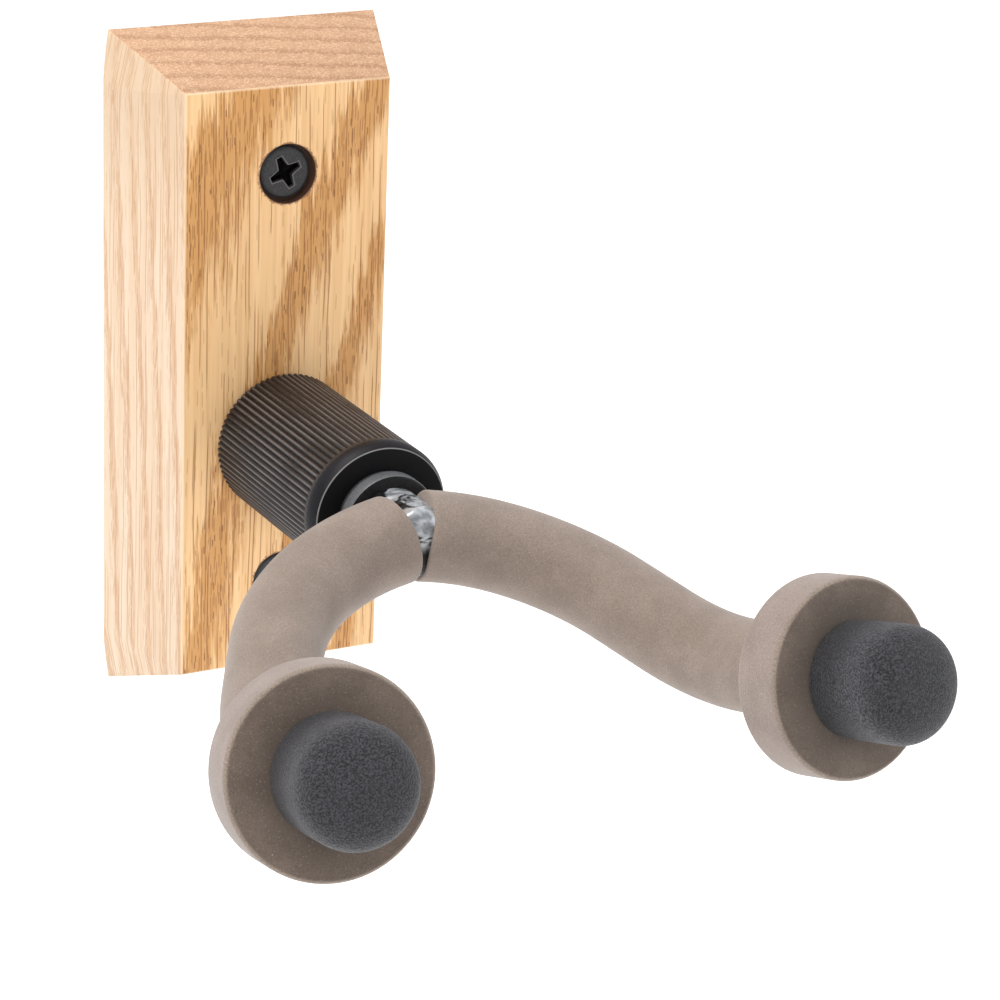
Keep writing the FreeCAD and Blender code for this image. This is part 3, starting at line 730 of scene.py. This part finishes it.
def oak_block(material):
    """The tapered block with eased edges, its screw holes and the pocket behind the pivot."""
    half_w = BLOCK_BACK_WIDTH / 2
    half_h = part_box("oak_backplate")[1][2] / MM
    ease, inset = BLOCK_END_EASE
    back = [(half_w, half_h - ease), (half_w - inset, half_h)]
    front = [(BLOCK_FRONT[0] / 2, BLOCK_FRONT[1] / 2)]
    points = []
    for sx in (-1, 1):
        for sz in (-1, 1):
            points += [(sx * x, 0, sz * z) for x, z in back]
            points += [(sx * x, -BLOCK_THICK, sz * z) for x, z in front]
    form = convex_mesh(points)

    def long_back(a, b):
        return max(abs(a.y), abs(b.y)) < 0.01 and abs(a.x - b.x) < 0.01

    def other(a, b):
        return (a - b).length > 5

    bevel_edges(form, long_back, 0.9, 4)
    bevel_edges(form, other, 0.28, 3)
    mesh = bpy.data.meshes.new("oak_block")
    form.to_mesh(mesh)
    form.free()
    block = bpy.data.objects.new("oak_block", mesh)
    bpy.context.scene.collection.objects.link(block)

    below, beyond = -1.0, BLOCK_THICK + 1
    chipped = SCREW_HOLE_RAD + 0.18
    screw_hole = [
        (SCREW_CLEAR_RAD, below), (SCREW_CLEAR_RAD, SCREW_SEAT - 1.05),
        (SCREW_HEAD_RAD, SCREW_SEAT), (SCREW_HOLE_RAD, SCREW_SEAT),
        (SCREW_HOLE_RAD, BLOCK_THICK - 0.15),
        (chipped, BLOCK_THICK + 0.02), (chipped, beyond),
    ]
    pivot_hole = [
        (POCKET_RAD, below), (POCKET_RAD, POCKET_DEPTH), (STUD_HOLE_RAD, POCKET_DEPTH),
        (STUD_HOLE_RAD, beyond),
    ]
    cutters = [hole_cutter("cut_upper", SCREW_HEIGHTS[0], screw_hole),
               hole_cutter("cut_lower", SCREW_HEIGHTS[1], screw_hole),
               hole_cutter("cut_pivot", PIVOT_Z, pivot_hole)]
    cut_away(block, cutters)
    soften(block, 32)
    install(block, "base", material, "oak", "oak_backplate")


# ---------------------------------------------------------------- housing


def housing(material, face_material):
    """Straight knurl with rounded crests, fading out at a smooth front band and chamfer."""
    ridge_steps = 12
    segments = KNURL_RIDGES * ridge_steps
    front = HOUSING_FRONT
    rear = BLOCK_THICK + 0.4
    levels = [(BLOCK_THICK, 1.0), (rear, 1.0)]
    levels += [(rear + 3.0 * k, 1.0) for k in range(1, 11)]
    levels += [(front - 4.3, 1.0), (front - 3.9, 0.85), (front - 3.5, 0.45), (front - 3.2, 0.12),
               (front - 2.9, 0.0)]
    verts = []
    for along, cut in levels:
        for k in range(segments):
            turn = 2 * math.pi * k / segments
            crest = abs(math.cos(KNURL_RIDGES * turn / 2)) ** 1.1
            radius = HOUSING_RAD - KNURL_DEPTH * cut * (1 - crest)
            verts.append((radius * math.cos(turn), -along, PIVOT_Z + radius * math.sin(turn)))
    ends = [(HOUSING_RAD, front - 1.5), (HOUSING_NOSE_RAD + 0.12, front - 0.16),
            (HOUSING_NOSE_RAD - 0.02, front - 0.04), (HOUSING_NOSE_RAD - 0.2, front),
            (8.3, front), (HOUSING_BORE_RAD, front), (HOUSING_BORE_RAD, front - 6)]
    for radius, along in ends:
        verts += outward_ring(radius, along, PIVOT_Z, segments)
    faces = grid_faces(len(levels) + len(ends), segments)
    piece = new_object("knurled_housing", verts, faces, 40)
    install(piece, "base", material, "housing_black", "swivel_housing")

    def front_or_bore(face):
        off_axis = math.hypot(face.center.x, face.center.z - PIVOT_Z * MM)
        return face.center.y < -(front - 0.03) * MM or off_axis < (HOUSING_BORE_RAD + 0.7) * MM

    dress_faces(piece, face_material, front_or_bore)


# ---------------------------------------------------------------- yoke


def end_direction(side):
    """The way an arm's tip points."""
    return Vector((
        side * math.sin(END_SPLAY) * math.cos(END_TILT),
        -math.cos(END_SPLAY) * math.cos(END_TILT),
        math.sin(END_TILT),
    ))


def at_pivot(point, side):
    """A point measured from the pivot's axis, on the arm of one side."""
    return Vector((side * point[0], point[1], point[2] + PIVOT_Z))


def arm_line(side):
    """The arm's centreline as evenly spaced points: straight runs joined by tangent arcs."""
    step = 0.6
    root = at_pivot(ARM_ROOT, side)
    bend = at_pivot(ARM_BEND, side)
    face = at_pivot(DISC_CENTRE, side)
    rise = face - end_direction(side) * ARM_END_RUN
    corners = [root, bend, rise, face]
    points = [root]

    def run_to(end):
        start = points[-1]
        count = max(1, int((end - start).length / step))
        points.extend(start.lerp(end, k / count) for k in range(1, count + 1))

    for index, radius in ((1, ARM_BEND_RAD), (2, ARM_RISE_RAD)):
        before = (corners[index] - corners[index - 1]).normalized()
        after = (corners[index + 1] - corners[index]).normalized()
        half = before.angle(after) / 2
        reach = radius * math.tan(half)
        enter = corners[index] - before * reach
        run_to(enter)
        centre = corners[index] + (after - before).normalized() * (radius / math.cos(half))
        count = max(2, int(2 * half * radius / step))
        for k in range(1, count + 1):
            turn = 2 * half * k / count
            outward = (enter - centre) * math.cos(turn)
            points.append(centre + outward + before * radius * math.sin(turn))
    run_to(face)
    return points


def travelled(points):
    """The distance along a line of points, at each of them."""
    out = [0.0]
    for a, b in zip(points, points[1:]):
        out.append(out[-1] + (b - a).length)
    return out


def point_on(line, length, distance):
    """The point and direction at a distance along a line of points."""
    index = max(k for k in range(len(line) - 1) if length[k] <= distance or k == 0)
    part = (distance - length[index]) / (length[index + 1] - length[index])
    along = (line[index + 1] - line[index]).normalized()
    return line[index].lerp(line[index + 1], part), along


def sleeve(side, material):
    """A rubber tube along the arm: rounded and slanted at the hub, and slightly uneven."""
    line = arm_line(side)
    length = travelled(line)
    start, stop = SLEEVE_START, length[-1] - DISC_THICK
    segments = 96
    rim = 0.45
    rings = [(start + 4.0, SLEEVE_BORE), (start + 0.25, SLEEVE_BORE), (start, SLEEVE_BORE + 0.25)]
    rings += [(start, SLEEVE_RAD - rim)]
    rings += [(start + rim * (1 - math.cos(a)), SLEEVE_RAD - rim * (1 - math.sin(a)))
              for a in (math.pi / 8, math.pi / 4, 3 * math.pi / 8, math.pi / 2)]
    run = stop - start - 1.0
    count = int(run / 0.8)
    rings += [(start + 1.0 + run * k / count, SLEEVE_RAD) for k in range(count + 1)]
    verts = []
    for distance, radius in rings:
        centre, along = point_on(line, length, min(distance, stop))
        across, above = frame_along(along)
        travel = distance - start
        settle = max(0.0, 1 - travel / 12)
        for k in range(segments):
            turn = 2 * math.pi * k / segments
            swell = 1 + 0.004 * math.sin(3 * turn + distance * 0.21) * min(1, travel / 8)
            out = (across * math.cos(turn) + above * math.sin(turn)) * radius * swell
            slant = SLEEVE_END_SLANT * (SLEEVE_RAD - out.y) * settle
            verts.append(centre + out - along * slant)
    name = SIDES[side]
    piece = new_object(f"{name}_sleeve", verts, grid_faces(len(rings), segments), 50)
    install(piece, "yoke", material, "sleeve_rubber", f"arm_sleeve_{name}")


def end_disc(side, material, lit_rim_material):
    """A disc with rounded edges, its front face centred where the arm's line ends."""
    round_off = 0.85
    outline = [(SLEEVE_BORE, -DISC_THICK), (DISC_RAD, -DISC_THICK),
               (DISC_RAD, 0.0), (SLEEVE_BORE, 0.0)]
    profile = [outline[0], (DISC_RAD * 0.6, -DISC_THICK)]
    profile += rounded(outline[0], outline[1], outline[2], round_off)
    profile += rounded(outline[1], outline[2], outline[3], round_off)
    profile += [(DISC_RAD * 0.75, 0.0), (CAP_RAD * 0.9, 0.0), outline[3]]
    tip = end_direction(side)
    verts, faces = lathe(profile + profile[:1], at_pivot(DISC_CENTRE, side), tip)
    name = SIDES[side]
    piece = new_object(f"{name}_disc", verts, faces, 40)
    install(piece, "yoke", material, "disc_rubber", f"end_disc_{name}")
    # the rim faces get the paler, painted-light rubber
    dress_faces(piece, lit_rim_material, lambda face: abs(face.normal.dot(tip)) < 0.6)


def end_cap(side, material):
    """A round-topped cap on a disc, its dome a full curve between a circle and a square."""
    steps = 28
    power = 2 / CAP_FULLNESS
    wall = CAP_RAD - 0.03
    profile = [(SLEEVE_BORE, 0.0), (CAP_RAD - 0.45, 0.02), (CAP_RAD - 0.1, 0.4)]
    profile += [(wall, along) for along in (3.0, 6.0, 9.0)]
    for k in range(steps + 1):
        turn = math.pi / 2 * k / steps
        radius = wall * max(math.cos(turn), 0.0) ** power
        profile.append((max(radius, 0.004), CAP_STRAIGHT + CAP_DOME * math.sin(turn) ** power))

    def wobble(turn, along):
        return 0.997 + 0.002 * math.sin(2 * turn + along) + 0.001 * math.sin(5 * turn - along)

    verts, faces = lathe(profile, at_pivot(DISC_CENTRE, side), end_direction(side), wobble=wobble)
    name = SIDES[side]
    piece = new_object(f"{name}_cap", verts, faces, 40)
    install(piece, "yoke", material, "cap_rubber", f"end_cap_{name}")


def hub_collar(lit_side_material, face_material):
    """The disc behind the weld: an eased edge round a gloss black face, its side a grey copy of the
    black finish with painted light.
    """
    rear = -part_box("hub_collar")[1][1] / MM
    face_at = COLLAR_FRONT - 0.02
    profile = [(COLLAR_BORE, rear), (COLLAR_RAD - 0.2, rear), (COLLAR_RAD, rear + 0.2),
               (COLLAR_RAD, COLLAR_FRONT - 0.45), (COLLAR_RAD - 0.12, COLLAR_FRONT - 0.16),
               (COLLAR_RAD - 0.42, face_at), (COLLAR_BORE, face_at)]
    verts, faces = lathe(profile + profile[:1], (0, 0, PIVOT_Z), (0, -1, 0), 144)
    piece = new_object("collar_disc", verts, faces, 40)
    install(piece, "yoke", lit_side_material, "yoke_black", "hub_collar")
    dress_faces(piece, face_material, lambda face: face.center.y < -(COLLAR_FRONT - 0.1) * MM)


def weld(material):
    """The lumpy weld between the two sleeves, a round-nosed post with runs of bead on it."""
    root = at_pivot(ARM_ROOT, 1)
    reach = -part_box("yoke_weld")[0][1] / MM - COLLAR_FRONT
    step, steps, centre = 0.3, 12, 0.01
    profile = [(centre, 0.0), (WELD_RAD, 0.0)]
    profile += [(WELD_RAD, step * k) for k in range(1, int((reach - WELD_NOSE) / step))]
    for k in range(steps + 1):
        turn = math.pi / 2 * k / steps
        profile.append((WELD_RAD - WELD_NOSE + WELD_NOSE * math.cos(turn),
                        reach - WELD_NOSE - 0.05 + WELD_NOSE * math.sin(turn)))
    profile += [(radius, reach - 0.05) for radius in (2.0, 1.0, centre)]

    def lumps(turn, along):
        bead = math.sin(3 * turn + 1.3 * along) * math.sin(1.1 * along + 0.4)
        fine = math.sin(9 * turn - 2.3 * along) * math.sin(5 * turn + 1.9 * along)
        return 0.955 + 0.030 * bead + 0.014 * fine

    start = (root.x, -COLLAR_FRONT, root.z)
    verts, faces = lathe(profile, start, (0, -1, 0), 120, lumps)
    piece = new_object("weld_lump", verts, faces, 60)
    install(piece, "yoke", material, "yoke_black", "yoke_weld")


# ---------------------------------------------------------------- wall screws

# the cross's arms: their length, and half their width at the middle and at the end
CROSS_REACH = 2.75
CROSS_HALF = (1.20, 0.46)
CROSS_DEPTH = 2.1
CROSS_TURNS = {"wall_screw_upper": math.radians(25), "wall_screw_lower": math.radians(40)}
HEAD_FLAT_RAD, HEAD_EASE = 3.7, 0.22
# the thread lies in the wall, so it starts at a negative distance out
THREAD_START, THREAD_PITCH, THREAD_COUNT = -6.0, 1.8, 12
THREAD_ROOT, THREAD_CREST = 1.56, 2.38


def cross_distance(u, v):
    """Distance outside the cross recess, negative inside; its arms taper towards their ends."""
    nearest = math.inf
    for along, beside in ((abs(u), abs(v)), (abs(v), abs(u))):
        part = min(along / CROSS_REACH, 1.0)
        half = CROSS_HALF[0] + (CROSS_HALF[1] - CROSS_HALF[0]) * part ** 0.7
        nearest = min(nearest, max(beside - half, along - CROSS_REACH))
    return nearest


def head_height(radius, turn, cross_turn):
    """Height of the screw head's top at a point, against its flat."""
    u = radius * math.cos(turn - cross_turn)
    v = radius * math.sin(turn - cross_turn)
    away = cross_distance(u, v)
    height = -HEAD_EASE * max(0.0, (radius - HEAD_FLAT_RAD) / 0.75) ** 2
    if away > 0:
        return height + 0.09 * math.exp(-((away - 0.14) / 0.12) ** 2)
    wall = min(1.0, -away / 0.30)
    middle = max(0.0, 1 - radius / 1.5)
    return height - CROSS_DEPTH * (0.62 * wall + 0.38 * wall * middle)


def wall_screw(name, height, material):
    """Countersunk head with a cross recess over a shank, thread and point."""
    low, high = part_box(name)
    top, tip = -low[1] / MM, -high[1] / MM
    segments = 240
    head_rad = SCREW_HEAD_RAD - 0.02
    rings = [0.02 + 0.07 * k for k in range(63)] + [head_rad]
    verts = []
    for radius in rings:
        for k in range(segments):
            turn = 2 * math.pi * k / segments
            out = top - 0.10 + head_height(radius, turn, CROSS_TURNS[name])
            verts.append((radius * math.cos(turn), -out, height + radius * math.sin(turn)))
    sides = [(head_rad, top - 0.62), (SCREW_SHANK_RAD, top - 3.0), (SCREW_SHANK_RAD, THREAD_START)]
    for k in range(THREAD_COUNT):
        base = THREAD_START - THREAD_PITCH * k
        sides += [(THREAD_ROOT, base), (THREAD_CREST, base - 0.5 * THREAD_PITCH),
                  (THREAD_ROOT, base - 0.98 * THREAD_PITCH)]
    end = THREAD_START - THREAD_PITCH * THREAD_COUNT
    sides += [(THREAD_ROOT - 0.01, end), (1.4, tip + 5.0), (0.02, tip + 0.02)]
    for radius, out in sides:
        verts += outward_ring(radius, out, height, segments)
    faces = grid_faces(len(rings) + len(sides), segments)
    piece = new_object(f"{name}_detail", verts, faces, 38)
    install(piece, "base", material, "screw_black", name)


# ---------------------------------------------------------------- camera and light

# fitted to the block's corners
LENS, SENSOR_WIDTH = 125.2188, 36
AZIMUTH, ELEVATION, ROLL = math.radians(28.57), math.radians(20.56), math.radians(2.42)
# where the origin lies as the camera sees it: to its right, above its axis, and away from it
ORIGIN_SEEN = (-45.16, 26.24, 600.8)


def place_camera():
    """The photograph's camera, turned by azimuth and elevation and rolled about its axis."""
    back = Vector((
        -math.sin(AZIMUTH) * math.cos(ELEVATION),
        -math.cos(AZIMUTH) * math.cos(ELEVATION),
        math.sin(ELEVATION),
    ))
    right = (-back).cross(Vector((0, 0, 1))).normalized()
    up = right.cross(-back)
    turned_right = right * math.cos(ROLL) + up * math.sin(ROLL)
    turned_up = up * math.cos(ROLL) - right * math.sin(ROLL)
    to_right, above, away = ORIGIN_SEEN
    place = -turned_right * to_right - turned_up * above + back * away
    data = bpy.data.cameras.new("camera")
    data.lens = LENS
    data.sensor_width = SENSOR_WIDTH
    data.clip_start, data.clip_end = 0.05, 80
    camera = bpy.data.objects.new("camera", data)
    camera.matrix_world = Matrix((
        (turned_right.x, turned_up.x, back.x, place.x * MM),
        (turned_right.y, turned_up.y, back.y, place.y * MM),
        (turned_right.z, turned_up.z, back.z, place.z * MM),
        (0, 0, 0, 1),
    ))
    bpy.context.scene.collection.objects.link(camera)
    bpy.context.scene.camera = camera


def area_light(name, place, aim, size, power, colour):
    """A round lamp at a place in metres, turned towards its aim."""
    data = bpy.data.lights.new(name, "AREA")
    data.shape = "DISK"
    data.size = size
    data.energy = power
    data.color = colour
    light = bpy.data.objects.new(name, data)
    light.location = place
    light.rotation_euler = (Vector(aim) - Vector(place)).to_track_quat("-Z", "Y").to_euler()
    bpy.context.scene.collection.objects.link(light)


# the sky is bright all round, and dimmer towards the front, as a studio is behind the camera
FRONT_SHADE = (-0.35, -0.88, 0.32)
SKY_SIDE, SKY_FRONT = 0.87, 0.30
FLOOR_GLOW = 0.42
FLOOR_REACH, FLOOR_HEIGHT = 40000.0, -320.0
PAPER, PAPER_PALE = (0.93, 0.93, 0.93), (0.96, 0.96, 0.96)

# name, place and aim in metres, size, power, colour
LIGHTS = (
    ("key", (-0.75, -0.45, 0.75), (0, -0.06, 0), 0.7, 6.5, (1.0, 0.98, 0.95)),
    ("fill", (0.9, -0.5, 0.35), (0, -0.06, 0), 0.8, 3, (0.95, 0.97, 1.0)),
    ("top", (-0.30, 0.02, 0.95), (0, -0.10, 0), 0.6, 7.5, (1, 1, 1)),
)


def shade_sky():
    """A white sky whose strength falls off towards the front."""
    world = bpy.data.worlds.new("studio")
    bpy.context.scene.world = world
    world.use_nodes = True
    tree = world.node_tree
    sky = tree.nodes["Background"]
    sky.inputs["Color"].default_value = (1.0, 1.0, 1.0, 1.0)
    around = tree.nodes.new("ShaderNodeTexCoord").outputs["Generated"]
    ahead = tree.nodes.new("ShaderNodeVectorMath")
    ahead.operation = "DOT_PRODUCT"
    ahead.inputs[1].default_value = FRONT_SHADE
    tree.links.new(around, ahead.inputs[0])
    shade = tree.nodes.new("ShaderNodeMapRange")
    shade.interpolation_type = "SMOOTHSTEP"
    shade.inputs["From Min"].default_value = 0.1
    shade.inputs["From Max"].default_value = 0.95
    shade.inputs["To Min"].default_value = SKY_SIDE
    shade.inputs["To Max"].default_value = SKY_FRONT
    tree.links.new(ahead.outputs["Value"], shade.inputs["Value"])
    tree.links.new(shade.outputs["Result"], sky.inputs["Strength"])


def lay_floor():
    """A wide sheet of faintly glowing white paper below the hanger."""
    corners = [(x * FLOOR_REACH, y * FLOOR_REACH, FLOOR_HEIGHT)
               for x, y in ((-1, -1), (1, -1), (1, 1), (-1, 1))]
    floor = new_object("floor", corners, [(0, 1, 2, 3)])
    paper = Nodes("paper")
    tone = paper.noise((400, 400, 400), 1.0)
    paper.shader.inputs["Emission Color"].default_value = (1.0, 1.0, 1.0, 1.0)
    paper.shader.inputs["Emission Strength"].default_value = FLOOR_GLOW
    dress(floor, paper.finish(Base_Color=paper.mix(tone, PAPER, PAPER_PALE), Roughness=0.9))


def studio():
    """Plain colours, the sky, the lamps and the floor."""
    bpy.context.scene.view_settings.view_transform = "Standard"
    shade_sky()
    for light in LIGHTS:
        area_light(*light)
    lay_floor()


# ---------------------------------------------------------------- assembly

OAK = oak()
SLEEVE = rubber("sleeve_rubber", (0.258, 0.202, 0.168), (0.215, 0.167, 0.137), dusting=0.16)
DISC = rubber("disc_rubber", (0.168, 0.126, 0.101), (0.127, 0.095, 0.075), dusting=0.14,
              cap_shade_and_edge_highlight=True)
# the disc rims: painted light, a paler copy of the disc rubber where the rims catch the light
DISC_RIM_LIT = rubber("disc_rim_lit_rubber", (0.275, 0.218, 0.190), (0.230, 0.181, 0.156), dusting=0.24)
CAP = grainy_cap()
HOUSING = knurled_black()
FACE = black_finish("housing_face_black", (0.004, 0.004, 0.005), (0.012, 0.012, 0.013),
                    roughness=0.50, shine=0.16, wear=0.15)
SCREW = screw_black()
# the collar's side: painted light, a lit grey copy of the black collar finish
COLLAR_LIT_SIDE = black_finish("collar_lit_grey", (0.075, 0.077, 0.082), (0.150, 0.152, 0.160),
                           roughness=0.34, shine=0.5, wear=0.6)
COLLAR_FACE = black_finish("collar_black", (0.005, 0.005, 0.006), (0.030, 0.030, 0.032),
                           roughness=0.26, shine=0.3, wear=0.4)
STEEL = plain_metal("steel", (0.60, 0.60, 0.62), (0.42, 0.42, 0.43), 0.28)
BRONZE = plain_metal("bushing_bronze", (0.62, 0.42, 0.20), (0.45, 0.29, 0.13), 0.32)
BLACK_NYLON = plain_nylon("nylon_black", (0.035, 0.035, 0.037), (0.022, 0.022, 0.023))
NYLON = plain_nylon("nylon_natural", (0.78, 0.77, 0.71), (0.68, 0.66, 0.60))

oak_block(OAK)
housing(HOUSING, FACE)
for screw_name, screw_height in zip(CROSS_TURNS, SCREW_HEIGHTS):
    wall_screw(screw_name, screw_height, SCREW)
hub_collar(COLLAR_LIT_SIDE, COLLAR_FACE)
weld(glossy_weld())
for side in SIDES:
    sleeve(side, SLEEVE)
    end_disc(side, DISC, DISC_RIM_LIT)
    end_cap(side, CAP)

for names, material in (
    (("housing_screw_left", "housing_screw_right", "pivot_stud", "rear_washer", "spring_washer",
      "lock_nut", "arm_rod_left", "arm_rod_right"), STEEL),
    (("front_bushing", "rear_bushing"), BRONZE),
    (("thrust_washer",), BLACK_NYLON),
    (("lock_nut_insert",), NYLON),
):
    for name in names:
        dress(nodes[name], material)

place_camera()
studio()
